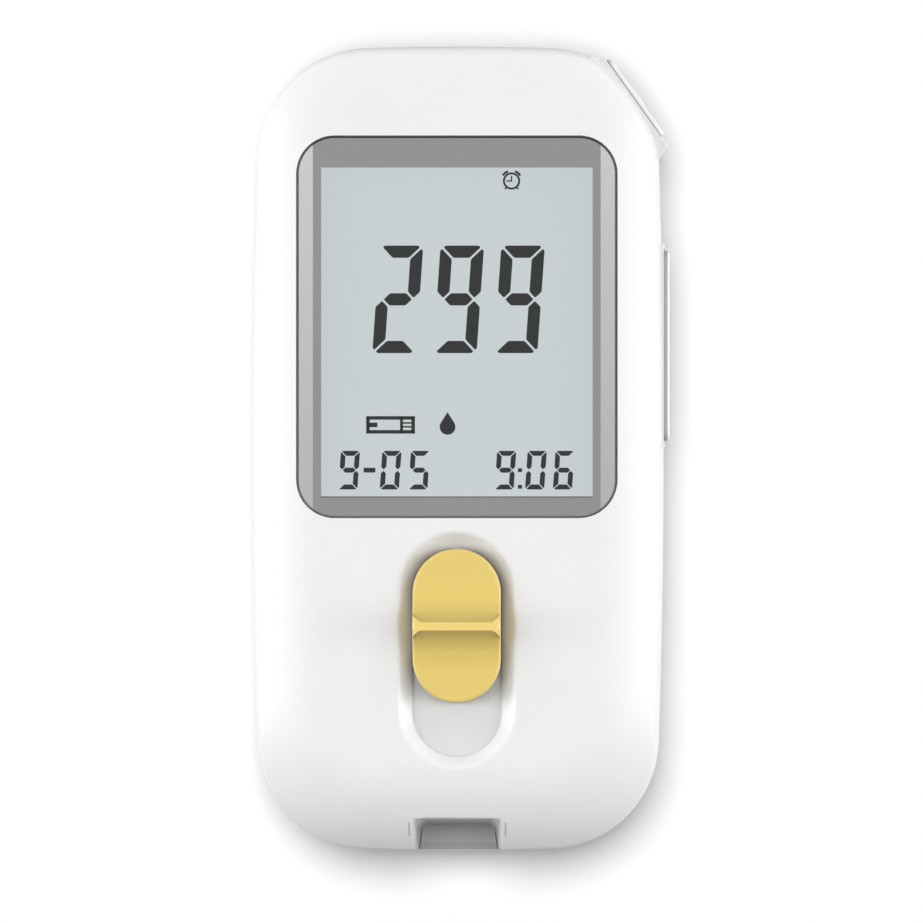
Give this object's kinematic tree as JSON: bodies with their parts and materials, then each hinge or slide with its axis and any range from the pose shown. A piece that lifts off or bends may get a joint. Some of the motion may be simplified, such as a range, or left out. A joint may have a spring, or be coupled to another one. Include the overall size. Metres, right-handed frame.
{
  "type": "blood glucose meter",
  "caption": "Hand-held blood glucose meter: rounded white case, display window, sliding strip ejector, strip port in the lower end, corner key and long rocker key in the right side.",
  "frame": {"origin": "middle of the flat back, on the plane it rests on, midway between the long sides and between the two ends", "axes": "+Z out of the display, +Y towards the top end, +X towards the long side key"},
  "size_m": [0.0516, 0.1, 0.0241],
  "materials": {
    "case_white": "fine satin white plastic",
    "window_clear": "clear window with a grey printed border",
    "tape": "thin black adhesive",
    "lcd": "display glass",
    "silver_film": "silvery reflecting film",
    "frame_plastic": "light moulded plastic",
    "zebra": "layered rubber",
    "board_green": "green circuit board with solder mask",
    "chip_black": "black moulded chip",
    "can_steel": "metal can",
    "component": "ceramic parts",
    "buzzer_black": "black plastic",
    "guide_grey": "light grey plastic",
    "connector_black": "black plastic",
    "gold": "gold-plated spring contacts",
    "button_yellow": "warm yellow satin plastic",
    "carriage_plastic": "natural acetal",
    "steel": "steel",
    "key_white": "satin white plastic",
    "silicone": "translucent silicone",
    "cell_jacket": "plain dark grey cell jacket",
    "nickel": "nickel-plated spring steel"
  },
  "bodies": {
    "case": {"front_cover": "case_white", "rear_cover": "case_white", "display_window": "window_clear", "window_adhesive": "tape", "lcd_glass": "lcd", "lcd_reflector": "silver_film", "lcd_frame": "frame_plastic", "zebra_strip": "zebra", "circuit_board": "board_green", "microcontroller": "chip_black", "analog_chip": "chip_black", "memory_chip": "chip_black", "watch_crystal": "can_steel", "board_components": "component", "buzzer": "buzzer_black", "strip_guide": "guide_grey", "strip_connector": "connector_black", "strip_contacts": "gold", "ejector_springs": "steel", "corner_switch": "buzzer_black", "side_key_board": "board_green", "side_key_pad": "silicone", "battery_cell_left": "cell_jacket", "battery_cell_right": "cell_jacket", "battery_springs": "nickel", "battery_terminals": "nickel", "battery_link": "nickel", "case_screws": "steel", "board_screws": "steel"},
    "ejector": {"ejector_button": "button_yellow", "ejector_carriage": "carriage_plastic", "ejector_screw": "steel"},
    "corner_press": {"corner_key": "key_white", "corner_plunger": "component"},
    "side_rocker": {"side_key": "key_white"},
    "door": {"battery_door": "case_white"}
  },
  "joints": [
    {"name": "ejector_slide", "type": "slide", "parent": "case", "child": "ejector", "axis": [0, -1, 0], "range_m": [0, 0.0066], "stiffness_N_per_m": 106, "springref_m": -0.0047, "deforming": ["ejector_springs"]},
    {"name": "corner_key_press", "type": "slide", "parent": "case", "child": "corner_press", "axis": [-0.8131, -0.5821, 0], "range_m": [0, 0.0004], "stiffness_N_per_m": 1500, "springref_m": -0.0006},
    {"name": "side_key_rock", "type": "hinge", "parent": "case", "child": "side_rocker", "pos_m": [0.0218, 0.0128, 0.0128], "axis": [0, 0, 1], "range_deg": [-2, 2], "stiffness_Nm_per_rad": 0.38, "deforming": ["side_key_pad"]},
    {"name": "battery_door_slide", "type": "slide", "parent": "case", "child": "door", "axis": [0, 1, 0], "range_m": [0, 0.056]}
  ]
}
